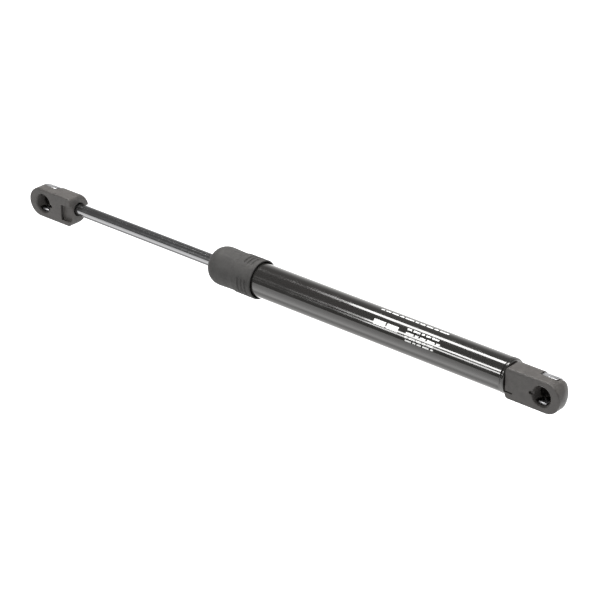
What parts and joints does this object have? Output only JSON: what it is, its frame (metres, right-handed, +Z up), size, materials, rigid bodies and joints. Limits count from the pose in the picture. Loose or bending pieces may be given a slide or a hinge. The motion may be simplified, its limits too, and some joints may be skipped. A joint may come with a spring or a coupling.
{
  "type": "gas strut stay",
  "caption": "Gas strut stay: black gas-charged tube, sliding steel rod with a dust boot, and a clipped plastic ball socket on each end.",
  "frame": {"origin": "centre of the tube-end ball socket", "axes": "+X along the strut from the rod end to the tube end, -Y out of both ball sockets, +Z up as pictured; the strut is fully extended at rest"},
  "size_m": [0.427, 0.0254, 0.0254],
  "materials": {
    "pressure_tube": "gloss black paint on steel",
    "end_plug": "turned, zinc plated",
    "end_plug_o_ring": "nitrile",
    "tube_end_fitting": "glass-filled nylon, dark grey",
    "tube_clip": "bright spring steel",
    "dust_boot": "matte moulded, dark grey",
    "wiper_ring": "oiled felt",
    "guide_retaining_washer": "stamped",
    "guide_housing": "turned",
    "guide_bush": "sintered bronze, lined",
    "guide_o_ring": "nitrile",
    "rod_seal": "moulded lip seal",
    "seal_support_washer": "stamped",
    "piston_rod": "ground and hard-chromed",
    "piston_front_washer": "stamped",
    "piston": "turned",
    "piston_ring": "filled PTFE",
    "piston_rear_washer": "stamped",
    "rod_end_fitting": "glass-filled nylon, dark grey",
    "rod_clip": "bright spring steel"
  },
  "bodies": {
    "barrel": {"pressure_tube": "pressure_tube", "end_plug": "end_plug", "end_plug_o_ring": "end_plug_o_ring", "tube_end_fitting": "tube_end_fitting", "dust_boot": "dust_boot", "wiper_ring": "wiper_ring", "guide_retaining_washer": "guide_retaining_washer", "guide_housing": "guide_housing", "guide_bush": "guide_bush", "guide_o_ring": "guide_o_ring", "rod_seal": "rod_seal", "seal_support_washer": "seal_support_washer"},
    "ring_carrier": {"piston_ring": "piston_ring"},
    "rod": {"piston_rod": "piston_rod", "rod_end_fitting": "rod_end_fitting", "piston": "piston", "piston_front_washer": "piston_front_washer", "piston_rear_washer": "piston_rear_washer"},
    "tube_clip_spring": {"tube_clip": "tube_clip"},
    "rod_clip_spring": {"rod_clip": "rod_clip"}
  },
  "joints": [
    {"name": "rod_slide", "type": "slide", "parent": "barrel", "child": "ring_carrier", "axis": [1, 0, 0], "range_m": [0, 0.115], "stiffness_N_per_m": 160, "springref_m": -0.85},
    {"name": "rod_spin", "type": "hinge", "parent": "ring_carrier", "child": "rod", "pos_m": [-0.402, 0, 0], "axis": [1, 0, 0], "continuous": true},
    {"name": "tube_clip_release", "type": "slide", "parent": "barrel", "child": "tube_clip_spring", "axis": [0, 1, 0], "range_m": [0, 0.003], "stiffness_N_per_m": 1500, "springref_m": -0.001},
    {"name": "rod_clip_release", "type": "slide", "parent": "rod", "child": "rod_clip_spring", "axis": [0, 1, 0], "range_m": [0, 0.003], "stiffness_N_per_m": 1500, "springref_m": -0.001}
  ]
}
